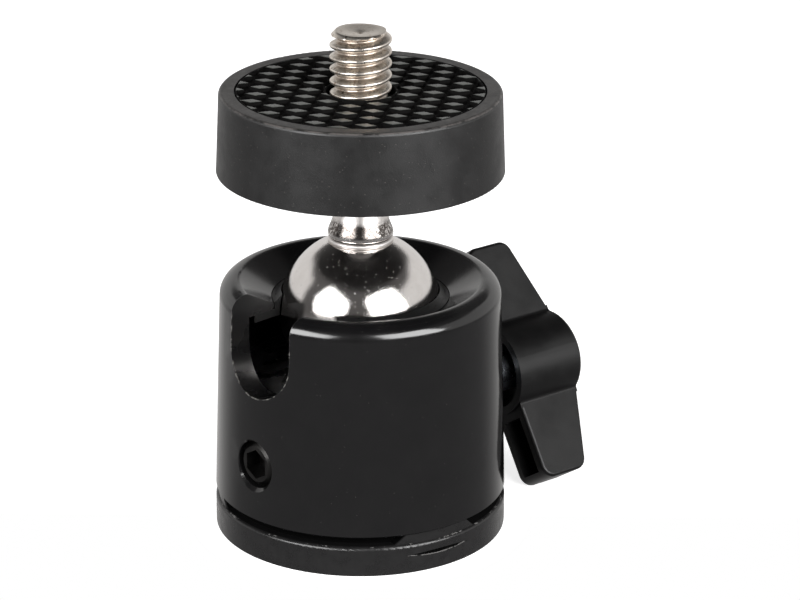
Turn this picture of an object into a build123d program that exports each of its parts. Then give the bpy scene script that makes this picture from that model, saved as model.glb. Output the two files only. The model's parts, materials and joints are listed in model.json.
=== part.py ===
from build123d import *
import os
from math import acos, asin, cos, degrees, hypot, radians, sin, sqrt, tan

# Small tripod ball head: a round housing with a drop notch in its rim, a chromed ball whose
# stud carries a round camera platform, and a winged knob that clamps the ball.
#
# Millimetres, +Z up along the ball and the camera screw. The origin is the centre of the
# base face. The knob points along +X. The drop notch faces -X, turned a little toward -Y.

os.makedirs("parts", exist_ok=True)

# --- Clearances -----------------------------------------------------------------------------
press_gap = 0.02          # pressed, staked or screwed together, between round faces
shaft_gap = 0.08          # bolt in its tapped bore, spigot that turns in its hole
ball_gap = 0.10           # between the ball, its liner and its seats
slide_gap = 0.20          # lower seat in the housing bore
pad_gap = 0.30            # loose edge of the rubber pad in the platform recess

# --- Base plug and tripod socket ------------------------------------------------------------
body_d = 30.6             # flange and foot of the housing
flange_t = 3.2
flange_edge = 0.35        # rounding of the top edge
flange_foot_edge = 0.1
groove_t = 1.0           # dark groove between the flange and the housing
groove_inset = 1.2        # groove's floor below the flange's side
spigot_inset = 2.0        # spigot's side below the flange's side
spigot_t = 2.6
insert_d = 8.4
insert_head_d = 10.8
insert_head_t = 0.8
thread_core_d = 5.1       # 1/4-20 UNC at its core
socket_depth = 6.4
stake_count = 3
stake_angle = -95.0       # degrees from +X to the first stake mark
stake_drop = 1.25         # chisel mark's edge below the flange's top face
stake_depth = 0.5
stake_open_up = 0.22      # half-heights of the mark's mouth, where it is deepest
stake_open_down = 0.30
stake_bulge_w = 9.6       # metal pushed up by the chisel, which closes the groove
stake_bulge_top_w = 7.4
stake_bulge_inset = 0.25

# --- Housing --------------------------------------------------------------------------------
housing_draft = 1.7       # degrees, narrower to the top
housing_wall = 2.9        # at the foot
foot_chamfer = 0.2
lip_ball_gap = 0.8        # between the lip's hole and the widest part of the ball
lip_t = 0.75              # at its inner edge
lip_above_ball = 1.75     # top of the lip's inner edge above the ball's centre
funnel_h = 1.9            # rim crest above that edge
rim_land = 2.0            # rim's flat before its edges are rounded
rim_fillet = 1.7
crest_fillet = 0.7
notch_w = 8.8
notch_drop = 1.3          # centre of the notch's round end below the ball's centre
notch_turn = 5.9          # degrees from -X toward -Y to the middle of the notch

# --- Ball, stud and seats -------------------------------------------------------------------
ball_d = 17.0
ball_z = 23.4
stud_spigot_d = 4.0
stud_spigot_l = 5.0
stud_foot_d = 6.8
stud_foot_t = 0.55
stud_groove_t = 0.15
stud_groove_depth = 0.22
stud_bell_d = 6.82
stud_bell_t = 0.2         # from the groove to the bell's widest place
stud_flare_h = 0.9        # from there to the next place, further in by stud_flare_inset
stud_flare_inset = 0.25
stud_neck_h = 0.8         # and on to the neck
stud_neck_inset = 0.3
stud_waist_d = 4.6
stud_waist_drop = 1.2     # waist below the platform
stud_shoulder_d = 6.3     # bears on the platform's underside
ring_top_above_ball = 2.4
ring_flange_t = 0.8
ring_flange_gap = 0.7     # in the housing bore
liner_t = 0.6
liner_hole_d = 4.0
liner_half_angle = 49.0   # degrees from straight down to the liner's edge
seat_cup_depth = 6.1      # top face of the lower seat below the ball's centre
seat_gap_below = 0.40     # free height under the lower seat
seat_relief_gap = 0.8     # round the insert's head
seat_relief_depth = 0.9
washer_t = 0.5
washer_w = 3.0            # outer radius less inner radius
washer_gap = 2.4          # in the housing bore

# --- Camera platform ------------------------------------------------------------------------
platform_reach = 15.5     # underside above the ball's centre
platform_t = 8.54
platform_bottom_d = 29.7
platform_rim = 1.6        # between the recess and the platform's side
platform_edge = 0.4
platform_bottom_edge = 0.1
recess_d = 25.8
recess_depth = 1.0
pad_t = 1.0
pad_hole_d = 7.1
pad_edge = 0.2
weave_turn = -46.9        # degrees from +X to the row of lozenges, whose columns stand across it
weave_column = 2.53       # pitch of the columns, every second one shifted by half a lozenge
weave_row = 2.36          # pitch of the lozenges in a column
weave_shift_u = -0.11     # first hollow's centre from the platform's axis, along the rows
weave_shift_v = 0.40      # and along the columns
lozenge_w = 2.08
lozenge_h = 0.88
weave_rib = 0.10          # from a lozenge's edge to the hollow beside it
weave_depth = 0.35
weave_margin = 0.3        # unbroken edge of the pad
camera_thread_d = 6.35    # 1/4-20 UNC
screw_proud = 6.31        # end of the screw above the platform's rim
screw_point = 0.95        # height of the cone at its end
screw_end_d = 5.0
screw_dish_d = 4.2
screw_dish_depth = 0.4
stud_grip = 3.9           # length of the stud screwed into the platform

# --- Clamp bolt, knob and adjusting screw ---------------------------------------------------
knob_z = 12.2             # axis of the knob and its bolt
knob_angle = 33.0         # degrees that the wings are turned from upright
bolt_d = 4.9              # M5 thread, drawn plain
tip_stub_d = 2.4
tip_stub_l = 1.6
tip_point_d = 0.9
wedge_offset = 0.4        # dimple's axis below the bolt's axis, so the cone lifts the seat
bolt_head_flats = 7.0
bolt_head_t = 3.2
bolt_head_cover = 0.6     # plastic over the head, which is moulded into the hub
hub_standoff = 2.65       # hub's inner end from the housing's foot
hub_d = 10.0
hub_l = 8.9
hub_edge = 0.9
hub_recess_d = 8.3
hub_recess_depth = 2.4
hub_root_fillet = 0.5     # where the wings meet the hub
wing_tip_w = 13.1         # from the knob's axis to the wing's tip
wing_inset = 0.3          # wing's edge on the housing side, in from the hub's inner end
wing_root_l = 8.25        # wing's outer edge beside the hub, from the hub's inner end
wing_tip_l = 5.95         # wing's outer edge at its tip, from the hub's inner end
wing_t = 4.8
wing_tip_fillet = 1.4
wing_edge = 0.35
wing_wall = 1.0
wing_web = 0.9            # wall between the hub and each pocket
wing_pocket_depth = 4.2
grub_z = 10.3
grub_d = 5.0
grub_recess = 0.35        # outer end below the housing's surface
grub_chamfer = 0.6
grub_cone_out = 0.5       # start of the 90 degree cone point, out from the housing bore
grub_tip_d = 1.0
grub_flats = 2.8
grub_socket_depth = 1.8
grub_hole_chamfer = 0.3
seat_drop = 0.3           # travel of the lower seat as the knob opens

# --- Derived places -------------------------------------------------------------------------
body_r = body_d / 2
groove_r = body_r - groove_inset
spigot_r = body_r - spigot_inset
bore_r = body_r - housing_wall
ball_r = ball_d / 2
lip_r = ball_r + lip_ball_gap
core_r = thread_core_d / 2
foot_z = flange_t + groove_t
plug_top_z = foot_z + spigot_t
lip_top_z = ball_z + lip_above_ball
lip_under_z = lip_top_z - lip_t
rim_z = lip_top_z + funnel_h
platform_z = ball_z + platform_reach
platform_top_z = platform_z + platform_t
recess_z = platform_top_z - recess_depth
screw_top_z = platform_top_z + screw_proud
stud_top_z = platform_z + stud_grip
ball_flat_z = ball_z + sqrt(ball_r**2 - (stud_foot_d / 2) ** 2)
seat_bottom_z = plug_top_z + washer_t + seat_gap_below
bolt_tip_x = bore_r
hub_inner_x = body_r + hub_standoff
wing_inner_x = hub_inner_x + wing_inset
wing_root_x = hub_inner_x + wing_root_l
wing_tip_x = hub_inner_x + wing_tip_l
knob_axis = Axis((0, 0, knob_z), (1, 0, 0))

# Directions of the notch and the adjusting screw below it: through the housing and across it
notch_through = Vector(cos(radians(notch_turn)), sin(radians(notch_turn)), 0)
notch_across = Vector(-sin(radians(notch_turn)), cos(radians(notch_turn)), 0)
notch_section = Plane(origin=(0, 0, 0), x_dir=notch_through, z_dir=-notch_across)
notch_front = Plane(origin=(0, 0, 0), x_dir=notch_across, z_dir=notch_through)
grub_axis = Axis((0, 0, grub_z), -notch_through)


def housing_r(z):
    """Outer radius of the drafted housing at height z."""
    return body_r - (z - foot_z) * tan(radians(housing_draft))


crest_r = housing_r(rim_z) - rim_land

# Drop notch: a U open to the top, cut from outside the wall into the middle
notch_reach = body_r + 1
with BuildSketch(notch_front.offset(-notch_reach)) as drop_notch:
    with Locations((0, ball_z - notch_drop)):
        Circle(notch_w / 2)
        Rectangle(notch_w, rim_z - ball_z + notch_drop + 1, align=(Align.CENTER, Align.MIN))

# --- Housing: one shell, open below for the plug and above for the ball ----------------------
with BuildPart() as housing:
    with BuildSketch(Plane.XZ):
        with BuildLine():
            Polyline(
                (spigot_r + press_gap, foot_z),
                (body_r, foot_z),
                (housing_r(rim_z), rim_z),
                (crest_r, rim_z),
                (lip_r, lip_top_z),
                (lip_r, lip_under_z),
                (bore_r, lip_under_z),
                (bore_r, plug_top_z),
                (spigot_r + press_gap, plug_top_z),
                close=True,
            )
        make_face()
        fillet(vertices().sort_by_distance((housing_r(rim_z), rim_z))[0], rim_fillet)
        fillet(vertices().sort_by_distance((crest_r, rim_z))[0], crest_fillet)
        chamfer(vertices().sort_by_distance((body_r, foot_z))[0], foot_chamfer)
    revolve(axis=Axis.Z)
    extrude(drop_notch.sketch, amount=notch_reach, mode=Mode.SUBTRACT)
    # Tapped bore for the clamp bolt
    with BuildSketch(Plane.YZ):
        with Locations((0, knob_z)):
            Circle(bolt_d / 2 + shaft_gap)
    extrude(amount=body_r, mode=Mode.SUBTRACT)
    # Tapped bore for the adjusting screw, opened by a chamfer
    grub_hole_r = grub_d / 2 + press_gap
    with BuildSketch(notch_front.offset(-notch_reach)):
        with Locations((0, grub_z)):
            Circle(grub_hole_r)
    extrude(amount=notch_reach, mode=Mode.SUBTRACT)
    with BuildSketch(notch_front.offset(-housing_r(grub_z) - grub_hole_chamfer)):
        with Locations((0, grub_z)):
            Circle(grub_hole_r + 2 * grub_hole_chamfer)
    extrude(amount=2 * grub_hole_chamfer, taper=45, mode=Mode.SUBTRACT)

# --- Base plug: the flange, with a spigot that is staked into the housing's foot -------------
# A straight V edge, driven into the round flange, leaves a mark that tapers to its ends
with BuildPart() as chisel:
    mark_z = flange_t - stake_drop
    mark_reach = 2 * stake_depth
    with BuildSketch(Plane.XZ):
        with BuildLine():
            Polyline(
                (body_r - stake_depth, mark_z),
                (body_r - stake_depth + mark_reach, mark_z + 2 * stake_open_up),
                (body_r - stake_depth + mark_reach, mark_z - 2 * stake_open_down),
                close=True,
            )
        make_face()
    extrude(amount=stake_bulge_w / 2, both=True)

# The metal above each mark is pushed up until it meets the housing
with BuildPart() as stake_bulge:
    with BuildSketch(Plane.YZ):
        with BuildLine():
            Polyline(
                (-stake_bulge_w / 2, flange_t),
                (stake_bulge_w / 2, flange_t),
                (stake_bulge_top_w / 2, foot_z),
                (-stake_bulge_top_w / 2, foot_z),
                close=True,
            )
        make_face()
    extrude(amount=body_r)
    with BuildSketch(Plane.XY.offset(flange_t)):
        Circle(body_r - stake_bulge_inset)
        Circle(groove_r - press_gap, mode=Mode.SUBTRACT)
    extrude(amount=groove_t, mode=Mode.INTERSECT)

with BuildPart() as base_plug:
    with BuildSketch(Plane.XZ):
        with BuildLine():
            Polyline(
                (insert_d / 2 + press_gap, 0),
                (body_r, 0),
                (body_r, flange_t),
                (groove_r, flange_t),
                (groove_r, foot_z),
                (spigot_r, foot_z),
                (spigot_r, plug_top_z),
                (insert_d / 2 + press_gap, plug_top_z),
                close=True,
            )
        make_face()
        fillet(vertices().sort_by_distance((body_r, flange_t))[0], flange_edge)
        fillet(vertices().sort_by_distance((body_r, 0))[0], flange_foot_edge)
    revolve(axis=Axis.Z)
    with PolarLocations(0, stake_count, start_angle=stake_angle):
        add(stake_bulge.part)
        add(chisel.part, mode=Mode.SUBTRACT)

# --- Tripod insert: steel nut with the 1/4-20 socket, flanged inside the plug ----------------
with BuildPart() as tripod_insert:
    with BuildSketch(Plane.XZ):
        with BuildLine():
            Polyline(
                (0, socket_depth),
                (core_r, socket_depth),
                (core_r, 0),
                (insert_d / 2, 0),
                (insert_d / 2, plug_top_z),
                (insert_head_d / 2, plug_top_z),
                (insert_head_d / 2, plug_top_z + insert_head_t),
                (0, plug_top_z + insert_head_t),
                close=True,
            )
        make_face()
    revolve(axis=Axis.Z)

# --- Adjusting screw: M5 cone-point grub screw in the wall below the notch --------------------
grub_outer_x = housing_r(grub_z) - grub_recess
grub_cone_x = bore_r + grub_cone_out
grub_tip_x = grub_cone_x - (grub_d - grub_tip_d) / 2
with BuildPart() as seat_adjusting_screw:
    with BuildSketch(notch_section):
        with BuildLine():
            Polyline(
                (-grub_tip_x, grub_z),
                (-grub_tip_x, grub_z + grub_tip_d / 2),
                (-grub_cone_x, grub_z + grub_d / 2),
                (-grub_outer_x, grub_z + grub_d / 2),
                (-grub_outer_x, grub_z),
                close=True,
            )
        make_face()
        chamfer(vertices().sort_by_distance((-grub_outer_x, grub_z + grub_d / 2))[0], grub_chamfer)
    revolve(axis=grub_axis)
    with BuildSketch(notch_front.offset(-grub_outer_x)):
        with Locations((0, grub_z)):
            RegularPolygon(grub_flats / 2, 6, major_radius=False, rotation=30)
    extrude(amount=grub_socket_depth, mode=Mode.SUBTRACT)

# --- Upper seat ring: black plastic, held under the lip, cut by the same notch ---------------
ring_sphere_r = ball_r + ball_gap
ring_bottom_z = lip_under_z - ring_flange_t
ring_low_angle = degrees(asin((ring_bottom_z - ball_z) / ring_sphere_r))
ring_top_angle = degrees(asin(ring_top_above_ball / ring_sphere_r))
ring_edge_r = lip_r - ball_gap
ring_flange_r = bore_r - ring_flange_gap
with BuildPart() as upper_seat_ring:
    with BuildSketch(Plane.XZ):
        with BuildLine():
            inner = CenterArc((0, ball_z), ring_sphere_r, ring_low_angle, ring_top_angle - ring_low_angle)
            Polyline(
                inner @ 1,
                (ring_edge_r, lip_top_z),
                (ring_edge_r, lip_under_z),
                (ring_flange_r, lip_under_z),
                (ring_flange_r, ring_bottom_z),
                inner @ 0,
            )
        make_face()
    revolve(axis=Axis.Z)
    extrude(drop_notch.sketch, amount=notch_reach, mode=Mode.SUBTRACT)

# --- Lower seat: sliding cup, with a conical dimple for the bolt and one for the screw --------
seat_r = bore_r - slide_gap
seat_top_z = ball_z - seat_cup_depth
cup_sphere_r = ball_r + ball_gap + liner_t + ball_gap
cup_edge_r = sqrt(cup_sphere_r**2 - seat_cup_depth**2)
cup_edge_angle = degrees(acos(seat_cup_depth / cup_sphere_r))
bolt_tip_r = bolt_d / 2 - shaft_gap
wedge_apex_x = bolt_tip_x - bolt_tip_r - wedge_offset - ball_gap * sqrt(2)
grub_apex_x = grub_cone_x - grub_d / 2 - seat_drop - ball_gap * sqrt(2)
seat_relief_r = insert_head_d / 2 + seat_relief_gap
with BuildPart() as lower_seat:
    with BuildSketch(Plane.XZ):
        with BuildLine():
            cup = CenterArc((0, ball_z), cup_sphere_r, -90, cup_edge_angle)
            Polyline(
                cup @ 1,
                (seat_r, seat_top_z),
                (seat_r, seat_bottom_z),
                (seat_relief_r, seat_bottom_z),
                (seat_relief_r, seat_bottom_z + seat_relief_depth),
                (0, seat_bottom_z + seat_relief_depth),
                cup @ 0,
            )
        make_face()
    revolve(axis=Axis.Z)
    # 90 degree dimples: a cone's radius is its distance from the apex
    for section, side, apex_x, dimple_z in (
        (Plane.XZ, 1, wedge_apex_x, knob_z - wedge_offset),
        (notch_section, -1, grub_apex_x, grub_z),
    ):
        with BuildSketch(section):
            with BuildLine():
                Polyline(
                    (side * apex_x, dimple_z),
                    (side * bore_r, dimple_z),
                    (side * bore_r, dimple_z + bore_r - apex_x),
                    close=True,
                )
            make_face()
        revolve(axis=Axis((0, 0, dimple_z), section.x_dir), mode=Mode.SUBTRACT)

# --- Wave washer under the lower seat ---------------------------------------------------------
with BuildPart() as seat_washer:
    with BuildSketch(Plane.XY.offset(plug_top_z)):
        Circle(bore_r - washer_gap)
        Circle(bore_r - washer_gap - washer_w, mode=Mode.SUBTRACT)
    extrude(amount=washer_t)

# --- Ball liner: loose nylon cap between the ball and the lower seat --------------------------
liner_inner_r = ball_r + ball_gap
liner_outer_r = liner_inner_r + liner_t
liner_hole_angle = degrees(asin(liner_hole_d / 2 / liner_inner_r))
liner_sweep = liner_half_angle - liner_hole_angle
with BuildPart() as ball_liner:
    with BuildSketch(Plane.XZ):
        with BuildLine():
            low = CenterArc((0, ball_z), liner_outer_r, -90 + liner_hole_angle, liner_sweep)
            high = CenterArc((0, ball_z), liner_inner_r, -90 + liner_hole_angle, liner_sweep)
            Line(low @ 0, high @ 0)
            Line(low @ 1, high @ 1)
        make_face()
    revolve(axis=Axis.Z)

# --- Ball: chromed sphere with a flat and a hole for the stud ---------------------------------
stud_bottom_z = ball_flat_z - stud_spigot_l
stud_hole_r = stud_spigot_d / 2 + shaft_gap
with BuildPart() as ball:
    with BuildSketch(Plane.XZ):
        with BuildLine():
            outer = ThreePointArc((0, ball_z - ball_r), (ball_r, ball_z), (stud_foot_d / 2, ball_flat_z))
            Polyline(
                outer @ 1,
                (stud_hole_r, ball_flat_z),
                (stud_hole_r, stud_bottom_z - shaft_gap),
                (0, stud_bottom_z - shaft_gap),
                outer @ 0,
            )
        make_face()
    revolve(axis=Axis.Z)

# --- Stud: foot ring, bell and tapered neck, screwed into the platform ------------------------
foot_top_z = ball_flat_z + stud_foot_t
bell_z = foot_top_z + stud_groove_t
bell_wide_z = bell_z + stud_bell_t
flare_z = bell_wide_z + stud_flare_h
neck_z = flare_z + stud_neck_h
waist_z = platform_z - stud_waist_drop
flare_r = stud_bell_d / 2 - stud_flare_inset
stud_groove_r = stud_foot_d / 2 - stud_groove_depth
with BuildPart() as stud:
    with BuildSketch(Plane.XZ):
        with BuildLine():
            Polyline(
                (0, stud_bottom_z),
                (stud_spigot_d / 2, stud_bottom_z),
                (stud_spigot_d / 2, ball_flat_z),
                (stud_groove_r, ball_flat_z),
            )
            ThreePointArc(
                (stud_groove_r, ball_flat_z),
                (stud_foot_d / 2, (ball_flat_z + foot_top_z) / 2),
                (stud_groove_r, foot_top_z),
            )
            Line((stud_groove_r, foot_top_z), (stud_groove_r, bell_z))
            TangentArc((stud_bell_d / 2, bell_wide_z), (stud_groove_r, bell_z), tangent=(0, -1))
            neck = Spline(
                (stud_bell_d / 2, bell_wide_z),
                (flare_r, flare_z),
                (flare_r - stud_neck_inset, neck_z),
                (stud_waist_d / 2, waist_z),
                tangents=[(0, 1), (0, 1)],
            )
            Polyline(
                neck @ 1,
                (stud_waist_d / 2, platform_z - (stud_shoulder_d - stud_waist_d) / 2),
                (stud_shoulder_d / 2, platform_z),
                (core_r, platform_z),
                (core_r, stud_top_z),
                (0, stud_top_z),
                (0, stud_bottom_z),
            )
        make_face()
    revolve(axis=Axis.Z)

# --- Camera platform: drafted disc with a recess for the pad ----------------------------------
platform_top_r = recess_d / 2 + platform_rim
with BuildPart() as camera_platform:
    with BuildSketch(Plane.XZ):
        with BuildLine():
            Polyline(
                (core_r + press_gap, platform_z),
                (platform_bottom_d / 2, platform_z),
                (platform_top_r, platform_top_z),
                (recess_d / 2, platform_top_z),
                (recess_d / 2, recess_z),
                (core_r + press_gap, recess_z),
                close=True,
            )
        make_face()
        fillet(vertices().sort_by_distance((platform_top_r, platform_top_z))[0], platform_edge)
        fillet(vertices().sort_by_distance((platform_bottom_d / 2, platform_z))[0], platform_bottom_edge)
    revolve(axis=Axis.Z)

# --- Platform pad: rubber disc on the recess floor, hollowed between flat lozenges -------------
pad_r = recess_d / 2 - pad_gap
# Corners of one hollow about its centre, between four lozenges and the ribs that join their tips
hollow_side = weave_column - lozenge_w / 2 - weave_rib
hollow_corner = lozenge_w / 2 - weave_rib / 2
hollow_tall = weave_row / 2 - 2 * weave_rib
hollow_waist = weave_row / 2 - lozenge_h / 2 - weave_rib
hollow = [
    (hollow_side, 0),
    (hollow_corner, hollow_tall),
    (0, hollow_waist),
    (-hollow_corner, hollow_tall),
    (-hollow_side, 0),
    (-hollow_corner, -hollow_tall),
    (0, -hollow_waist),
    (hollow_corner, -hollow_tall),
]
columns = int(pad_r / weave_column) + 1
rows = int(pad_r / weave_row) + 1
weave_dir = (cos(radians(weave_turn)), sin(radians(weave_turn)), 0)
with BuildPart() as platform_pad:
    with BuildSketch(Plane.XZ):
        with BuildLine():
            Polyline(
                (pad_hole_d / 2, recess_z),
                (pad_r, recess_z),
                (pad_r, recess_z + pad_t),
                (pad_hole_d / 2, recess_z + pad_t),
                close=True,
            )
        make_face()
        fillet(vertices().group_by(Axis.Y)[-1], pad_edge)
    revolve(axis=Axis.Z)
    with BuildSketch(Plane(origin=(0, 0, recess_z + pad_t), x_dir=weave_dir, z_dir=(0, 0, 1))):
        for column in range(-columns, columns + 1):
            for row in range(-rows, rows + 1):
                u = weave_shift_u + column * weave_column
                v = weave_shift_v + (row + column % 2 / 2) * weave_row
                corners = [(u + across, v + along) for across, along in hollow]
                reach = [hypot(*corner) for corner in corners]
                if min(reach) > pad_hole_d / 2 + weave_margin and max(reach) < pad_r - weave_margin:
                    Polygon(*corners, align=None)
    extrude(amount=-weave_depth, mode=Mode.SUBTRACT)

# --- Camera screw: 1/4-20 stud jammed against the neck's end in the platform's bore -----------
with BuildPart() as camera_screw:
    with BuildSketch(Plane.XZ):
        with BuildLine():
            Polyline(
                (0, stud_top_z),
                (core_r, stud_top_z),
                (core_r, recess_z + pad_t),
                (camera_thread_d / 2, recess_z + pad_t),
                (camera_thread_d / 2, screw_top_z - screw_point),
                (screw_end_d / 2, screw_top_z),
                (screw_dish_d / 2, screw_top_z),
                (0, screw_top_z - screw_dish_depth),
                close=True,
            )
        make_face()
    revolve(axis=Axis.Z)

# --- Bolt tip pad: cone that wedges the lower seat up, with a stub in the bolt's end ----------
stub_end_x = bolt_tip_x + tip_stub_l
point_x = bolt_tip_x - bolt_tip_r + tip_point_d / 2
with BuildPart() as bolt_tip_pad:
    with BuildSketch(Plane.XZ):
        with BuildLine():
            Polyline(
                (point_x, knob_z),
                (point_x, knob_z + tip_point_d / 2),
                (bolt_tip_x, knob_z + bolt_tip_r),
                (bolt_tip_x, knob_z + tip_stub_d / 2),
                (stub_end_x, knob_z + tip_stub_d / 2),
                (stub_end_x, knob_z),
                close=True,
            )
        make_face()
    revolve(axis=knob_axis)

# --- Clamp bolt: M5 hex bolt held in the knob, hollow at its tip for the pad's stub -----------
lower_wing = Vector(0, -sin(radians(knob_angle)), -cos(radians(knob_angle)))
across_wing = Vector(0, -cos(radians(knob_angle)), sin(radians(knob_angle)))
recess_floor_x = hub_inner_x + hub_recess_depth
bolt_head_x = recess_floor_x + bolt_head_cover


def knob_plane(x):
    """Plane across the knob's axis at x, with its local x out along the lower wing."""
    return Plane(origin=(x, 0, knob_z), x_dir=lower_wing, z_dir=(1, 0, 0))


with BuildPart() as clamp_bolt:
    with BuildSketch(Plane.XZ):
        with BuildLine():
            Polyline(
                (bolt_tip_x, knob_z + tip_stub_d / 2 + shaft_gap),
                (bolt_tip_x, knob_z + bolt_d / 2),
                (bolt_head_x, knob_z + bolt_d / 2),
                (bolt_head_x, knob_z),
                (stub_end_x + shaft_gap, knob_z),
                (stub_end_x + shaft_gap, knob_z + tip_stub_d / 2 + shaft_gap),
                close=True,
            )
        make_face()
    revolve(axis=knob_axis)
    with BuildSketch(knob_plane(bolt_head_x)):
        RegularPolygon(bolt_head_flats / 2, 6, major_radius=False)
    extrude(amount=bolt_head_t)

# --- Wing knob: moulded hub with two wings, cored from the housing side -----------------------
# The wing is drawn from the side, with local x out along it and local y along +X
with BuildSketch(Plane(origin=(0, 0, knob_z), x_dir=lower_wing, z_dir=across_wing)) as wing_side:
    with BuildLine():
        Polyline(
            (0, wing_inner_x),
            (wing_tip_w, wing_inner_x),
            (wing_tip_w, wing_tip_x),
            (hub_d / 2, wing_root_x),
            (0, wing_root_x),
            close=True,
        )
    make_face()
    fillet(vertices().group_by(Axis.X)[-1], wing_tip_fillet)

with BuildPart() as wing:
    extrude(wing_side.sketch, amount=wing_t / 2, both=True)
    sides = faces().sort_by(Axis((0, 0, 0), across_wing))
    fillet(sides[0].edges() + sides[-1].edges(), wing_edge)

# Concave fillets where the wing leaves the hub, cut off by the wing's outer edge
with BuildPart() as wing_root:
    extrude(wing_side.sketch, amount=hub_d / 2, both=True)
    with BuildSketch(knob_plane(wing_inner_x)):
        Circle(hub_d / 2)
        Rectangle(hub_d, wing_t)
        fillet(vertices().filter_by(lambda v: abs(v.X) < hub_d / 2 - press_gap), hub_root_fillet)
    extrude(amount=wing_root_l, mode=Mode.INTERSECT)

with BuildPart() as wing_knob:
    with BuildSketch(knob_plane(hub_inner_x)):
        Circle(hub_d / 2)
    extrude(amount=hub_l)
    fillet(edges().group_by(Axis.X)[-1], hub_edge)
    for half in (wing.part, wing_root.part):
        add(half)
        mirror(half, about=Plane(origin=(0, 0, knob_z), z_dir=lower_wing))
    # Recess round the bolt, the hexagon moulded round its head, and a cored pocket in each wing
    with BuildSketch(knob_plane(hub_inner_x)):
        Circle(hub_recess_d / 2)
    extrude(amount=hub_recess_depth, mode=Mode.SUBTRACT)
    with BuildSketch(knob_plane(recess_floor_x)):
        Circle(bolt_d / 2 + press_gap)
    extrude(amount=bolt_head_cover, mode=Mode.SUBTRACT)
    with BuildSketch(knob_plane(bolt_head_x)):
        RegularPolygon(bolt_head_flats / 2 + press_gap, 6, major_radius=False)
    extrude(amount=bolt_head_t, mode=Mode.SUBTRACT)
    pocket_in = hub_d / 2 + wing_web
    pocket_out = wing_tip_w - wing_wall
    with BuildSketch(knob_plane(hub_inner_x)):
        with Locations(((pocket_in + pocket_out) / 2, 0), (-(pocket_in + pocket_out) / 2, 0)):
            Rectangle(pocket_out - pocket_in, wing_t - 2 * wing_wall)
    extrude(amount=wing_inner_x - hub_inner_x + wing_pocket_depth, mode=Mode.SUBTRACT)

# --- Write one STEP file for each piece -------------------------------------------------------
pieces = {
    "housing": housing,
    "base_plug": base_plug,
    "tripod_insert": tripod_insert,
    "seat_adjusting_screw": seat_adjusting_screw,
    "upper_seat_ring": upper_seat_ring,
    "lower_seat": lower_seat,
    "seat_washer": seat_washer,
    "ball_liner": ball_liner,
    "ball": ball,
    "stud": stud,
    "camera_platform": camera_platform,
    "platform_pad": platform_pad,
    "camera_screw": camera_screw,
    "bolt_tip_pad": bolt_tip_pad,
    "clamp_bolt": clamp_bolt,
    "wing_knob": wing_knob,
}
for name, piece in pieces.items():
    piece.part.label = name
    export_step(piece.part, f"parts/{name}.step")
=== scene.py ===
import json
import math

import bpy
from mathutils import Matrix, Vector


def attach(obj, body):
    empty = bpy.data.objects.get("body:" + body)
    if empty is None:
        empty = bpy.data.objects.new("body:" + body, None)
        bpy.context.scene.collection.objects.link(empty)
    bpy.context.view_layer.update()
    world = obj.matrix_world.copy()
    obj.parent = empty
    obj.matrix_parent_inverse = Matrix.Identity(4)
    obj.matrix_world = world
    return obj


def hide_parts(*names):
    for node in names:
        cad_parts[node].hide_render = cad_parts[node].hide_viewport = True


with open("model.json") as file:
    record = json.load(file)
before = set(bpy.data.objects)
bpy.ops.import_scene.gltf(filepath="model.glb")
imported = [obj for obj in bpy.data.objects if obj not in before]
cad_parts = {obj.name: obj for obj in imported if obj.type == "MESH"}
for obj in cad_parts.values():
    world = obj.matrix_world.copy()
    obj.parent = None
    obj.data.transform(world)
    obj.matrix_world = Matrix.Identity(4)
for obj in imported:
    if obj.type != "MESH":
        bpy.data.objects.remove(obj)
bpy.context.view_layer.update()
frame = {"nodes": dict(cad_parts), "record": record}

MM = 0.001                  # metres in a millimetre
nodes = frame["nodes"]

# --- Camera ---------------------------------------------------------------------------------
CAMERA_AT = Vector((-203.5, -266.1, 152.4)) * MM
HEADING, PITCH, ROLL = (math.radians(a) for a in (51.89, 20.89, 0.29))
LENS, SENSOR = 154.94, 36.0

ahead = Vector((math.cos(HEADING), math.sin(HEADING), 0))     # away from the camera, level
right = Vector((math.sin(HEADING), -math.cos(HEADING), 0))    # to the right of the picture
sight = math.cos(PITCH) * ahead - math.sin(PITCH) * Vector((0, 0, 1))
up = right.cross(sight)
camera_x = math.cos(ROLL) * right + math.sin(ROLL) * up
camera_y = math.cos(ROLL) * up - math.sin(ROLL) * right

camera = bpy.data.objects.new("camera", bpy.data.cameras.new("camera"))
camera.data.lens = LENS
camera.data.sensor_width = SENSOR
camera.data.clip_start = 0.01
camera.matrix_world = Matrix.Translation(CAMERA_AT) @ Matrix(
    (camera_x, camera_y, -sight)).transposed().to_4x4()
scene = bpy.context.scene
scene.collection.objects.link(camera)
scene.camera = camera
scene.view_settings.view_transform = "Standard"


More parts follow.
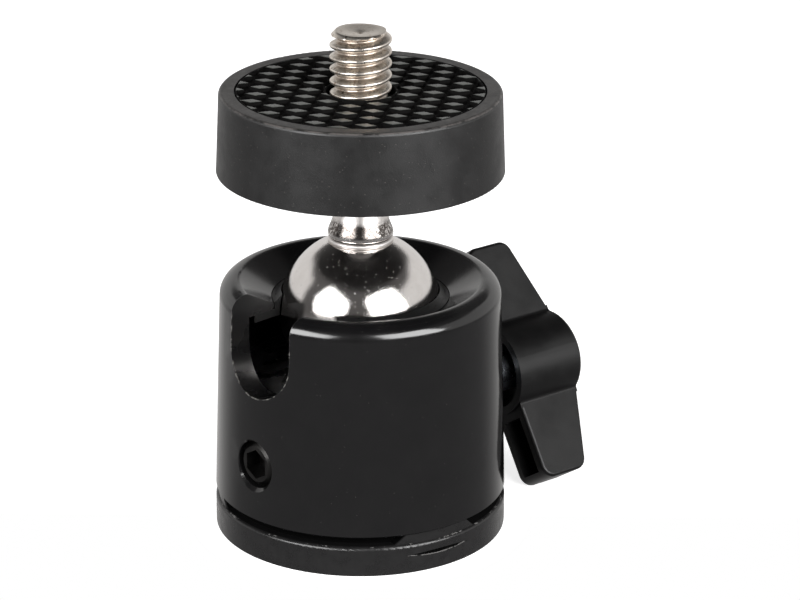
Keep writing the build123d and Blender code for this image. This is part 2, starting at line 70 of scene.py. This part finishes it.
# --- Node and mesh helpers --------------------------------------------------------------------
class Look:
    """A node tree with short calls. Places are in millimetres in the object's own frame."""

    def __init__(self, tree):
        self.tree = tree

    def node(self, kind, inputs=(), **settings):
        made = self.tree.nodes.new(kind)
        for name, value in settings.items():
            setattr(made, name, value)
        for name, value in dict(inputs).items():
            self.feed(made.inputs[name], value)
        return made

    def feed(self, socket, value):
        if isinstance(value, bpy.types.NodeSocket):
            self.tree.links.new(value, socket)
        else:
            socket.default_value = value

    def math(self, kind, a, b=0.0, c=0.0, clamp=False):
        made = self.node("ShaderNodeMath", operation=kind, use_clamp=clamp)
        for socket, value in zip(made.inputs, (a, b, c)):
            self.feed(socket, value)
        return made.outputs[0]

    def add(self, a, b): return self.math("ADD", a, b)
    def sub(self, a, b): return self.math("SUBTRACT", a, b)
    def mul(self, a, b): return self.math("MULTIPLY", a, b)
    def high(self, a, b): return self.math("MAXIMUM", a, b)
    def low(self, a, b): return self.math("MINIMUM", a, b)

    def step(self, value, start, end, low=0.0, high=1.0):
        """Smooth step from low at start to high at end."""
        made = self.node("ShaderNodeMapRange", interpolation_type="SMOOTHSTEP")
        if start > end:
            start, end, low, high = end, start, high, low
        for name, number in (("Value", value), ("From Min", start), ("From Max", end),
                             ("To Min", low), ("To Max", high)):
            self.feed(made.inputs[name], number)
        return made.outputs[0]

    def band(self, value, centre, half, soft):
        """1 within half of centre, falling to 0 over soft."""
        away = self.math("ABSOLUTE", self.sub(value, centre))
        return self.step(away, half + soft, half)

    def mix(self, factor, a, b, blend="MIX"):
        made = self.node("ShaderNodeMix", data_type="RGBA", blend_type=blend)
        self.feed(made.inputs[0], factor)
        self.feed(made.inputs[6], a)
        self.feed(made.inputs[7], b)
        return made.outputs[2]


class Surface(Look):
    """A material with one Principled shader."""

    def __init__(self, name):
        self.material = bpy.data.materials.new(name)
        self.material.use_nodes = True
        super().__init__(self.material.node_tree)
        self.shader = self.tree.nodes["Principled BSDF"]
        place = self.node("ShaderNodeTexCoord").outputs["Object"]
        self.place = self.node("ShaderNodeVectorMath", operation="SCALE",
                               inputs={"Vector": place, "Scale": 1 / MM}).outputs[0]
        split = self.node("ShaderNodeSeparateXYZ", inputs={"Vector": self.place}).outputs
        self.x, self.y, self.z = split[0], split[1], split[2]

    def around(self):
        """Distance from the Z axis."""
        flat = self.node("ShaderNodeCombineXYZ", inputs={"X": self.x, "Y": self.y})
        return self.node("ShaderNodeVectorMath", operation="LENGTH",
                         inputs={"Vector": flat.outputs[0]}).outputs["Value"]

    def from_point(self, point):
        """Distance from a point."""
        return self.node("ShaderNodeVectorMath", operation="DISTANCE",
                         inputs={0: self.place, 1: point}).outputs["Value"]

    def noise(self, size, detail=2.0, rough=0.5):
        """Noise whose lumps are about size millimetres."""
        made = self.node("ShaderNodeTexNoise", inputs={
            "Vector": self.place, "Scale": 1 / size, "Detail": detail, "Roughness": rough})
        return made.outputs["Fac"]

    def specks(self, size, amount):
        """Small round spots; amount is the share of their cells' reach that they cover."""
        cells = self.node("ShaderNodeTexVoronoi", inputs={
            "Vector": self.place, "Scale": 1 / size, "Randomness": 1.0})
        return self.step(cells.outputs["Distance"], amount, amount * 0.55)

    def bump(self, height, depth, under=None):
        """Height in 0..1 raised by depth millimetres."""
        made = self.node("ShaderNodeBump", inputs={
            "Height": height, "Strength": 1.0, "Distance": depth * MM})
        if under:
            self.feed(made.inputs["Normal"], under)
        return made.outputs[0]

    def finish(self, **inputs):
        for name, value in inputs.items():
            self.feed(self.shader.inputs[name.replace("_", " ")], value)
        return self.material


def dress(material, *names):
    for name in names:
        for slot in nodes[name].material_slots:
            slot.material = material


def mesh_piece(name, verts, faces, body, material, replaces=(), sharp=None):
    """A mesh in millimetres that rides on a body and stands for CAD nodes."""
    mesh = bpy.data.meshes.new(name)
    mesh.from_pydata([(x * MM, y * MM, z * MM) for x, y, z in verts], [], faces)
    mesh.update()
    mesh.materials.append(material)
    mesh.polygons.foreach_set("use_smooth", [True] * len(mesh.polygons))
    if sharp:
        mesh.set_sharp_from_angle(angle=math.radians(sharp))
    piece = bpy.data.objects.new(name, mesh)
    scene.collection.objects.link(piece)
    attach(piece, body)
    if replaces:
        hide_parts(*replaces)
    return piece


def ring_faces(rings, around):
    """Quads between rings of the same number of points, stacked in order."""
    faces = []
    for row in range(rings - 1):
        for i in range(around):
            a, b = row * around + i, row * around + (i + 1) % around
            faces.append((a, b, b + around, a + around))
    return faces


def smooth(t):
    t = min(max(t, 0.0), 1.0)
    return t * t * (3 - 2 * t)


# --- Materials --------------------------------------------------------------------------------
NOTCH = math.radians(5.9)   # the notch's middle, from -X toward -Y
NOTCH_HALF, NOTCH_FLOOR = 4.4, 22.1
HOUSING_R, DRAFT = 15.3, math.tan(math.radians(1.7))


def housing_paint():
    s = Surface("housing_paint_look")
    peel = s.noise(0.9, 1.0)
    haze = s.noise(3.5, 3.0, 0.6)
    dust = s.specks(0.8, 0.05)
    colour = s.mix(haze, (0.0030, 0.0030, 0.0033, 1), (0.0062, 0.0060, 0.0062, 1))
    colour = s.mix(s.mul(dust, 0.35), colour, (0.16, 0.15, 0.14, 1))
    # Through the notch (out) and across it (side)
    out = s.add(s.mul(s.x, -math.cos(NOTCH)), s.mul(s.y, -math.sin(NOTCH)))
    side = s.add(s.mul(s.x, -math.sin(NOTCH)), s.mul(s.y, math.cos(NOTCH)))
    below = s.low(s.sub(s.z, NOTCH_FLOOR), 0.0)
    from_mid = s.math("SQRT", s.add(s.mul(side, side), s.mul(below, below)))
    cut = s.mul(s.step(from_mid, NOTCH_HALF + 0.10, NOTCH_HALF + 0.03), s.step(out, 7.0, 7.2))
    # Distance inside the outer wall, and a thin worn line where the notch's cut meets that wall
    wall = s.sub(s.sub(HOUSING_R, s.mul(s.sub(s.z, 4.2), DRAFT)), s.around())
    worn_at = s.step(s.noise(0.9, 4.0, 0.7), 0.50, 0.60)
    line = s.mul(s.band(from_mid, NOTCH_HALF, 0.05, 0.07), s.step(wall, 0.16, 0.08))
    line = s.mul(s.mul(line, worn_at), s.step(out, 9.0, 9.2))
    colour = s.mix(s.mul(line, 0.8), colour, (0.34, 0.33, 0.31, 1))
    speck = s.mul(cut, s.specks(0.22, 0.11))
    colour = s.mix(s.mul(speck, 0.35), colour, (0.14, 0.115, 0.09, 1))
    rough = s.step(haze, 0.3, 0.7, 0.09, 0.14)
    rim = s.step(s.z, 24.6, 25.6)
    rough = s.add(rough, s.add(s.mul(cut, 0.16), s.add(s.mul(line, 0.2), s.mul(rim, 0.05))))
    grit = s.mul(cut, s.noise(0.3, 2.0))
    return s.finish(Base_Color=colour, Roughness=rough, IOR=1.62, Metallic=s.mul(line, 0.7),
                    Normal=s.bump(grit, 0.005, s.bump(peel, 0.004)))


def plug_paint():
    s = Surface("plug_paint_look")
    grain = s.noise(0.25, 2.0)
    wear = s.noise(1.4, 4.0, 0.7)
    colour = s.mix(wear, (0.007, 0.007, 0.0075, 1), (0.014, 0.0135, 0.0135, 1))
    radius = s.around()
    # Painted shade in the groove (dark, dull and weakly reflecting), a thin broken line of bare
    # metal along the flange's top edge
    groove = s.mul(s.step(radius, 15.0, 14.8), s.step(s.z, 3.1, 3.25))
    colour = s.mix(groove, colour, (0.002, 0.002, 0.002, 1))
    edge = s.mul(s.band(s.z, 3.17, 0.015, 0.03), s.step(radius, 14.9, 15.0))
    worn = s.mul(edge, s.step(s.noise(1.6, 5.0, 0.8), 0.56, 0.61))
    # The chisel's marks have painted shade inside them, and bare metal bright at their lower lip
    side = s.step(s.z, 2.9, 2.7)
    inside = s.mul(side, s.step(radius, 15.22, 15.12))
    colour = s.mix(inside, colour, (0.0012, 0.0012, 0.0012, 1))
    lip = s.mul(s.mul(side, s.step(s.z, 2.02, 1.94)), s.band(radius, 15.22, 0.03, 0.03))
    worn = s.high(worn, s.mul(lip, s.step(s.noise(0.8, 4.0, 0.7), 0.42, 0.54)))
    colour = s.mix(worn, colour, (0.48, 0.47, 0.46, 1))
    rough = s.add(s.step(wear, 0.3, 0.7, 0.24, 0.36), s.mul(groove, 0.5))
    return s.finish(Base_Color=colour, Roughness=rough, IOR=s.step(groove, 0.0, 1.0, 1.5, 1.05),
                    Metallic=s.mul(worn, 0.8), Normal=s.bump(grain, 0.005))


# Where the rim nick's painted shade and its burr's painted highlight sit, in millimetres
NICK_SHADE_AT, BURR_HIGHLIGHT_AT = (9.5, -11.3, 47.25), (9.95, -11.0, 47.40)


def platform_plastic():
    s = Surface("platform_plastic_look")
    grain = s.noise(0.13, 2.0, 0.7)
    wide = s.noise(2.5, 3.0, 0.6)
    colour = s.mix(s.noise(0.35, 3.0, 0.7), (0.0010, 0.0009, 0.0010, 1), (0.0036, 0.0034, 0.0035, 1))
    dust = s.specks(0.55, 0.11)
    colour = s.mix(s.mul(dust, 0.5), colour, (0.13, 0.12, 0.11, 1))
    radius = s.around()
    # The rim's top is paler, partly rubbed wear and partly a painted reflection of the pale screens,
    # and palest along its outer edge, where a painted highlight runs
    top = s.mul(s.step(s.z, 47.36, 47.43), s.step(radius, 12.85, 12.95))
    rubbed_and_painted_reflection = s.mul(top, s.step(s.noise(0.5, 4.0, 0.75), 0.35, 0.75, 0.25, 1.0))
    colour = s.mix(s.mul(rubbed_and_painted_reflection, 0.8), colour, (0.058, 0.055, 0.052, 1))
    # Painted highlight: a thin broken pale line along the rim's top outer edge
    line = s.mul(s.band(s.z, 47.34, 0.04, 0.06), s.step(radius, 14.2, 14.3))
    line = s.mul(line, s.step(s.noise(1.2, 4.0, 0.7), 0.35, 0.60))
    colour = s.mix(s.mul(line, 0.7), colour, (0.11, 0.10, 0.095, 1))
    # A nick in the rim as a spot of painted shade, with a painted highlight for the burr beside it
    colour = s.mix(s.step(s.from_point(NICK_SHADE_AT), 0.55, 0.40), colour, (0.001, 0.001, 0.001, 1))
    colour = s.mix(s.step(s.from_point(BURR_HIGHLIGHT_AT), 0.28, 0.18), colour, (0.20, 0.19, 0.18, 1))
    rough = s.step(wide, 0.3, 0.7, 0.40, 0.50)
    return s.finish(Base_Color=colour, Roughness=rough, IOR=1.62, Normal=s.bump(grain, 0.014))


def knob_plastic():
    s = Surface("knob_plastic_look")
    grain = s.noise(0.16, 2.0, 0.6)
    wide = s.noise(3.0, 3.0, 0.6)
    colour = s.mix(wide, (0.0020, 0.0020, 0.0022, 1), (0.0046, 0.0044, 0.0044, 1))
    rough = s.step(wide, 0.3, 0.7, 0.34, 0.44)
    return s.finish(Base_Color=colour, Roughness=rough, IOR=1.40, Normal=s.bump(grain, 0.006))


def pad_rubber():
    s = Surface("pad_rubber_look")
    grain = s.noise(0.2, 3.0, 0.7)
    wide = s.noise(2.0, 3.0)
    # Painted shade: the hollows below the lozenges' tops are darkened, rougher and weakly reflecting
    top = s.step(s.z, 47.40, 47.43)
    flat = s.mix(wide, (0.050, 0.053, 0.050, 1), (0.090, 0.094, 0.087, 1))
    colour = s.mix(top, (0.0025, 0.0023, 0.0022, 1), flat)
    rough = s.step(grain, 0.3, 0.7, 0.26, 0.38)
    rough = s.step(top, 0.0, 1.0, 0.7, rough)
    return s.finish(Base_Color=colour, Roughness=rough, IOR=s.step(top, 0.0, 1.0, 1.15, 1.6),
                    Normal=s.bump(grain, 0.004))


def seat_plastic():
    s = Surface("seat_plastic_look")
    grain = s.noise(0.3, 2.0)
    colour = s.mix(s.noise(2.0, 2.0), (0.004, 0.004, 0.004, 1), (0.010, 0.010, 0.010, 1))
    return s.finish(Base_Color=colour, Roughness=s.step(grain, 0.2, 0.8, 0.26, 0.40), IOR=1.4,
                    Normal=s.bump(grain, 0.004))


def metal(name, dark, light, rough, grain=0.25, depth=0.002, turned=0.0, axis="z"):
    """A metal with blotches, a fine grain and, if turned, rings about its axis."""
    s = Surface(name + "_look")
    wide = s.noise(2.2, 4.0, 0.6)
    fine = s.noise(grain, 3.0, 0.7)
    colour = s.mix(wide, (*dark, 1), (*light, 1))
    normal = s.bump(fine, depth)
    if turned:
        line = s.add(s.around(), s.z) if axis == "z" else s.x
        rings = s.node("ShaderNodeTexWave", bands_direction="X", inputs={
            "Vector": s.node("ShaderNodeCombineXYZ", inputs={"X": line}).outputs[0],
            "Scale": 3.0, "Distortion": 0.6, "Detail": 2.0}).outputs["Fac"]
        normal = s.bump(rings, turned, normal)
    return s.finish(Base_Color=colour, Metallic=1.0,
                    Roughness=s.step(wide, 0.3, 0.7, rough * 0.8, rough * 1.25), Normal=normal)


def chrome():
    s = Surface("chrome_look")
    wide = s.noise(2.2, 4.0, 0.65)
    fine = s.noise(0.20, 4.0, 0.8)
    pits = s.specks(0.40, 0.12)
    colour = s.mix(wide, (0.74, 0.70, 0.675, 1), (0.88, 0.855, 0.835, 1))
    colour = s.mix(s.mul(pits, 0.6), colour, (0.12, 0.10, 0.09, 1))
    # The stud above the ball: a dark band on the bell, of tarnish spots and a painted dark
    # reflection on its side towards the camera; dull bright metal above it
    stud = s.step(s.z, 31.15, 31.25)
    neck = s.step(s.z, 33.3, 34.2)
    band = s.mul(s.step(s.z, 32.2, 32.5), s.step(s.z, 34.1, 33.4))
    spots = s.step(s.noise(0.30, 5.0, 0.8), 0.40, 0.52)
    # Painted reflection of the dark room: the bell darkened on its side towards the camera
    stain_and_painted_reflection = s.step(s.add(s.mul(s.x, -0.72), s.mul(s.y, -0.69)), 1.9, 2.7, 0.0, 0.85)
    tarnish_with_painted_shade_and_reflection = s.mul(band, s.high(spots, stain_and_painted_reflection))
    # Painted shade: a dark line in the groove above the stud's foot ring
    line = s.mul(s.band(s.z, 31.82, 0.05, 0.05), stud)
    tarnish_with_painted_shade_and_reflection = s.high(s.mul(tarnish_with_painted_shade_and_reflection, 0.92), s.mul(line, 0.9))
    colour = s.mix(tarnish_with_painted_shade_and_reflection, colour, (0.045, 0.032, 0.025, 1))
    rough = s.add(s.step(wide, 0.3, 0.7, 0.05, 0.10), s.mul(stud, 0.12))
    foot = s.mul(stud, s.step(s.z, 31.78, 31.72))
    rough = s.add(rough, s.add(s.mul(neck, 0.22), s.mul(foot, 0.22)))
    return s.finish(Base_Color=colour, Metallic=1.0, Roughness=rough,
                    Normal=s.bump(s.add(s.mul(fine, 0.8), pits), 0.0110))


def nickel():
    s = Surface("nickel_look")
    wide = s.noise(1.2, 4.0, 0.65)
    stain_and_painted_reflection = s.noise(0.5, 4.0, 0.75)
    fine = s.noise(0.14, 3.0, 0.8)
    colour = s.mix(wide, (0.74, 0.66, 0.57, 1), (0.90, 0.86, 0.80, 1))
    colour = s.mix(s.step(stain_and_painted_reflection, 0.52, 0.66, 0.0, 0.7), colour, (0.30, 0.20, 0.13, 1))
    root = s.step(s.around(), 2.95, 2.5)
    body = s.step(s.z, 53.5, 53.3)
    colour = s.mix(s.mul(s.mul(root, body), 0.42), colour, (0.22, 0.15, 0.10, 1))
    rough = s.step(stain_and_painted_reflection, 0.3, 0.7, 0.25, 0.42)
    end = s.mul(s.step(s.z, 53.45, 53.6), s.step(s.around(), 2.6, 2.45))
    rough = s.add(rough, s.mul(end, 0.16))
    colour = s.mix(s.mul(end, 0.5), colour, (0.94, 0.89, 0.82, 1))
    return s.finish(Base_Color=colour, Metallic=1.0, Roughness=rough,
                    Normal=s.bump(fine, 0.006))


def nylon():
    s = Surface("white_nylon_look")
    grain = s.noise(0.3, 2.0)
    colour = s.mix(s.noise(2.0, 3.0), (0.78, 0.77, 0.71, 1), (0.84, 0.83, 0.79, 1))
    s.finish(Subsurface_Weight=0.2)
    s.shader.inputs["Subsurface Radius"].default_value = (MM, MM, MM)
    return s.finish(Base_Color=colour, Roughness=s.step(grain, 0.2, 0.8, 0.4, 0.5),
                    Normal=s.bump(grain, 0.004))


looks = {
    "housing_paint": housing_paint(),
    "plug_paint": plug_paint(),
    "zinc_steel": metal("zinc_steel", (0.50, 0.54, 0.60), (0.66, 0.70, 0.75), 0.28, turned=0.004,
                        axis="x"),
    "black_oxide": metal("black_oxide", (0.035, 0.035, 0.036), (0.065, 0.063, 0.060), 0.34,
                         depth=0.005),
    "seat_plastic": seat_plastic(),
    "bare_aluminium": metal("bare_aluminium", (0.50, 0.50, 0.51), (0.60, 0.60, 0.61), 0.30,
                            turned=0.006),
    "spring_steel": metal("spring_steel", (0.28, 0.29, 0.31), (0.40, 0.41, 0.43), 0.26,
                          depth=0.003),
    "white_nylon": nylon(),
    "chrome": chrome(),
    "nickel": nickel(),
    "platform_plastic": platform_plastic(),
    "pad_rubber": pad_rubber(),
    "brass": metal("brass", (0.62, 0.46, 0.22), (0.78, 0.62, 0.36), 0.26, turned=0.004, axis="x"),
    "knob_plastic": knob_plastic(),
}
for part in frame["record"]["subparts"]:
    dress(looks[part["material_slot"]], part["node"])


# --- Camera screw: rolled 1/4-20 UNC thread ----------------------------------------------------
PITCH_MM = 1.27
CREST_R, ROOT_R, SHANK_R = 3.175, 2.42, 2.55
SCREW_BOTTOM, RECESS_Z, PLATFORM_TOP, SCREW_TOP = 42.8, 46.44, 47.44, 53.75
POINT_R, DISH_DEPTH = 2.5, 0.4
# Radius and drop of the end face's rings: an outer land, then a shallow dish
END_FACE = ((2.42, 0.0), (2.1, 0.0), (1.9, 0.02), (1.7, 0.06), (1.2, 0.15), (0.6, 0.22))
SCREW_AROUND, SCREW_STEP = 96, 0.0705
FIRST_STEP, TOP_GAP = 0.1, 0.02     # thread's first ring above the recess, its last below the top
THREAD_START = 0.605        # turn at which a crest passes the screw's top


def thread_radius(turn, z):
    """Radius of the right-hand thread at an angle in turns and a height."""
    phase = (z - SCREW_TOP) / PITCH_MM - turn + THREAD_START
    away = abs((phase + 0.5) % 1.0 - 0.5) * 2       # 0 on the crest, 1 in the root
    return ROOT_R + (CREST_R - ROOT_R) * smooth(1.12 * (1 - away))


def camera_screw():
    verts = []
    levels = int((SCREW_TOP - TOP_GAP - RECESS_Z - FIRST_STEP) / SCREW_STEP)
    heights = [SCREW_BOTTOM, RECESS_Z - 0.05, RECESS_Z + 0.02]
    heights += [RECESS_Z + FIRST_STEP + i * SCREW_STEP for i in range(levels)] + [SCREW_TOP]
    for z in heights:
        for i in range(SCREW_AROUND):
            turn = i / SCREW_AROUND
            fade = smooth((z - RECESS_Z - 0.05) / 0.5)
            r = SHANK_R + (thread_radius(turn, z) - SHANK_R) * fade
            r = min(r, POINT_R + 0.10 + (SCREW_TOP - z) * 0.95)
            verts.append((r * math.cos(math.tau * turn), r * math.sin(math.tau * turn), z))
    for r, drop in END_FACE:
        for i in range(SCREW_AROUND):
            angle = math.tau * i / SCREW_AROUND
            verts.append((r * math.cos(angle), r * math.sin(angle), SCREW_TOP - drop))
    rings = len(heights) + len(END_FACE)
    faces = ring_faces(rings, SCREW_AROUND)
    verts += [(0, 0, SCREW_TOP - DISH_DEPTH), (0, 0, SCREW_BOTTOM)]
    top, bottom = len(verts) - 2, len(verts) - 1
    last = (rings - 1) * SCREW_AROUND
    for i in range(SCREW_AROUND):
        j = (i + 1) % SCREW_AROUND
        faces += [(last + i, last + j, top), (j, i, bottom)]
    return mesh_piece("camera_screw_thread", verts, faces, "head", looks["nickel"],
                      ["camera_screw"], sharp=50)


camera_screw()

# --- Platform pad: net of flat lozenges and thin ribs round hollows ----------------------------
PAD_IN, PAD_OUT, PAD_EDGE = 3.55, 12.80, 0.2
NET_TURN = math.radians(-46.9)      # rows of lozenges, from +X
ROW, COLUMN = 2.36, 2.53            # spacing along a column, and between columns
NET_SHIFT = (-0.11, 1.58)           # a lozenge's centre, along the rows and along the columns
LOZENGE = (1.12, 0.58)              # half length across the columns, half width along them
RIB, HOLLOW, HOLLOW_REACH = 0.03, 0.40, 0.20
PAD_RINGS, PAD_AROUND = 112, 600


def to_segment(x, y, ax, ay, bx, by):
    dx, dy = bx - ax, by - ay
    t = min(max(((x - ax) * dx + (y - ay) * dy) / (dx * dx + dy * dy), 0), 1)
    return math.hypot(x - ax - t * dx, y - ay - t * dy)


def net_depth(x, y):
    """How far the pad's surface lies below its top, at a point from its centre."""
    u = x * math.cos(NET_TURN) + y * math.sin(NET_TURN) - NET_SHIFT[0]
    v = -x * math.sin(NET_TURN) + y * math.cos(NET_TURN) - NET_SHIFT[1]
    column = math.floor(u / COLUMN)
    nearest = HOLLOW_REACH
    for c in (column, column + 1):
        shift = ROW / 2 if c % 2 else 0.0
        row = round((v - shift) / ROW)
        for k in (row - 1, row, row + 1):
            px, py = abs(u - c * COLUMN), abs(v - shift - k * ROW)
            a, b = LOZENGE
            if px / a + py / b <= 1:
                return 0.0
            nearest = min(nearest, to_segment(px, py, a, 0, 0, b),
                          to_segment(px, py, a, 0, COLUMN - a, ROW / 2) - RIB + 0.05)
    t = min(max(nearest / HOLLOW_REACH, 0.0), 1.0)
    return HOLLOW * (1 - (1 - t) ** 2)


def platform_pad():
    verts = []
    profile = [(PAD_IN, RECESS_Z, 0.0), (PAD_IN, PLATFORM_TOP - PAD_EDGE, 0.0)]
    for i in range(PAD_RINGS):
        r = PAD_IN + (PAD_OUT - PAD_IN) * i / (PAD_RINGS - 1)
        edge = min(r - PAD_IN, PAD_OUT - r)
        drop = PAD_EDGE - math.sqrt(max(PAD_EDGE ** 2 - max(PAD_EDGE - edge, 0) ** 2, 0))
        profile.append((r, PLATFORM_TOP - drop * 0.999, smooth((edge - 0.12) / 0.25)))
    profile += [(PAD_OUT, RECESS_Z, 0.0)]
    for r, z, weight in profile:
        for i in range(PAD_AROUND):
            angle = math.tau * i / PAD_AROUND
            x, y = r * math.cos(angle), r * math.sin(angle)
            depth = weight * net_depth(x, y) if weight else 0.0
            verts.append((x, y, z - depth))
    rings = len(profile)
    faces = ring_faces(rings, PAD_AROUND)
    last = (rings - 1) * PAD_AROUND
    for i in range(PAD_AROUND):
        j = (i + 1) % PAD_AROUND
        faces.append((last + i, last + j, j, i))
    faces = [tuple(reversed(face)) for face in faces]
    return mesh_piece("platform_pad_net", verts, faces, "head", looks["pad_rubber"],
                      ["platform_pad"])


platform_pad()

# --- Floor: pale sheet that ends at the object's front --------------------------------------------
FLOOR_REACH = 400.0         # to the sides and the back
FOOTING = 18.0              # sheet round the base, in front


def floor_material():
    material = bpy.data.materials.new("floor_look")
    material.use_nodes = True
    s = Look(material.node_tree)
    s.tree.nodes.clear()
    diffuse = s.node("ShaderNodeBsdfDiffuse", inputs={"Color": (0.8, 0.8, 0.8, 1)})
    glow = s.node("ShaderNodeEmission", inputs={
        "Strength": s.mul(s.node("ShaderNodeLightPath").outputs["Is Camera Ray"], 0.75)})
    both = s.node("ShaderNodeAddShader", inputs={0: diffuse.outputs[0], 1: glow.outputs[0]})
    s.node("ShaderNodeOutputMaterial", inputs={"Surface": both.outputs[0]})
    return material


def floor():
    outline = [(-FLOOR_REACH, 0.0)]
    for i in range(25):
        angle = math.pi * (1 - i / 24)
        outline.append((FOOTING * math.cos(angle), -FOOTING * math.sin(angle)))
    outline += [(FLOOR_REACH, 0.0), (FLOOR_REACH, FLOOR_REACH), (-FLOOR_REACH, FLOOR_REACH)]
    mesh = bpy.data.meshes.new("floor")
    mesh.from_pydata([(right * a + ahead * b) * MM for a, b in outline], [],
                     [tuple(range(len(outline)))])
    mesh.materials.append(floor_material())
    sheet = bpy.data.objects.new("floor", mesh)
    scene.collection.objects.link(sheet)
    sheet.visible_glossy = False


floor()

# --- Studio: two softboxes in front, white screens at the sides and back, a grey room --------------
SOFTBOX_FAR = 700.0
SOFTBOX_GLOW = 10.0
BALL_Z = 23.4
# Corners as seen from the ball: degrees from the camera's side, degrees above the horizon
SOFTBOXES = {
    "softbox_left": ((-57, 40), (-21, 28), (-24.5, 10), (-66, 8), (-71.5, 21)),
    "softbox_right": ((12.5, 35), (59, 39), (70, 12), (67, 5), (21, 10)),
}


def direction(azimuth, elevation):
    azimuth, elevation = math.radians(azimuth), math.radians(elevation)
    level = math.sin(azimuth) * right - math.cos(azimuth) * ahead
    return math.cos(elevation) * level + math.sin(elevation) * Vector((0, 0, 1))


def softbox(name, corners):
    rays = [direction(*corner) for corner in corners]
    middle = sum(rays, Vector()).normalized()
    points = [ray * (SOFTBOX_FAR / ray.dot(middle)) + Vector((0, 0, BALL_Z)) for ray in rays]
    material = bpy.data.materials.new(name)
    material.use_nodes = True
    s = Look(material.node_tree)
    s.tree.nodes.clear()
    glow = s.node("ShaderNodeEmission")
    glow.inputs["Strength"].default_value = SOFTBOX_GLOW
    s.node("ShaderNodeOutputMaterial", inputs={"Surface": glow.outputs[0]})
    mesh = bpy.data.meshes.new(name)
    mesh.from_pydata([point * MM for point in points], [], [tuple(range(len(points)))])
    mesh.materials.append(material)
    box = bpy.data.objects.new(name, mesh)
    scene.collection.objects.link(box)
    box.visible_camera = False
    box.visible_transmission = False


for name, corners in SOFTBOXES.items():
    softbox(name, corners)


def studio():
    world = bpy.data.worlds.new("studio")
    scene.world = world
    world.use_nodes = True
    s = Look(world.node_tree)
    s.tree.nodes.clear()
    ray = s.node("ShaderNodeTexCoord").outputs["Generated"]

    def along(direction):
        return s.node("ShaderNodeVectorMath", operation="DOT_PRODUCT",
                      inputs={0: ray, 1: tuple(direction)}).outputs["Value"]

    rise = along((0, 0, 1))
    # Degrees round from the camera's side, more than 0 to the right
    turn = s.mul(s.math("ARCTAN2", along(right), along(-ahead)), math.degrees(1))
    # White screens at the sides and the back, nearer the camera above the floor than below it
    low = s.step(rise, -0.02, -0.20)
    soft = s.add(3.0, s.mul(low, 22.0))
    start_r = s.add(71.0, s.mul(low, 64.0))
    start_l = s.add(95.0, s.mul(low, 36.0))
    screen_r = s.step(s.math("DIVIDE", s.sub(turn, start_r), soft), -1, 1)
    screen_l = s.step(s.math("DIVIDE", s.sub(s.mul(turn, -1.0), start_l), soft), -1, 1)
    # Their top edge stands lower at the back
    back = s.step(s.math("ABSOLUTE", turn), 120.0, 150.0)
    top = s.sub(0.53, s.mul(back, 0.14))
    sweep = s.mul(s.high(screen_r, screen_l), s.step(s.sub(rise, top), 0.03, -0.03))
    # A grey room in front: paler below the horizon, nearly black overhead
    room = s.mix(s.step(rise, 0.68, 0.80), (0.10, 0.097, 0.096, 1), (0.010, 0.010, 0.010, 1))
    room = s.mix(s.step(rise, 0.0, -0.25), room, (0.24, 0.235, 0.235, 1))
    pale = s.mix(low, (0.72, 0.71, 0.70, 1), (0.66, 0.65, 0.64, 1))
    room = s.mix(sweep, room, pale)
    path = s.node("ShaderNodeLightPath").outputs
    seen = s.math("ADD", path["Is Camera Ray"], path["Is Transmission Ray"], clamp=True)
    colour = s.mix(seen, room, (1, 1, 1, 1))
    glow = s.node("ShaderNodeBackground", inputs={"Color": colour, "Strength": 1.0})
    s.node("ShaderNodeOutputWorld", inputs={"Surface": glow.outputs[0]})


studio()
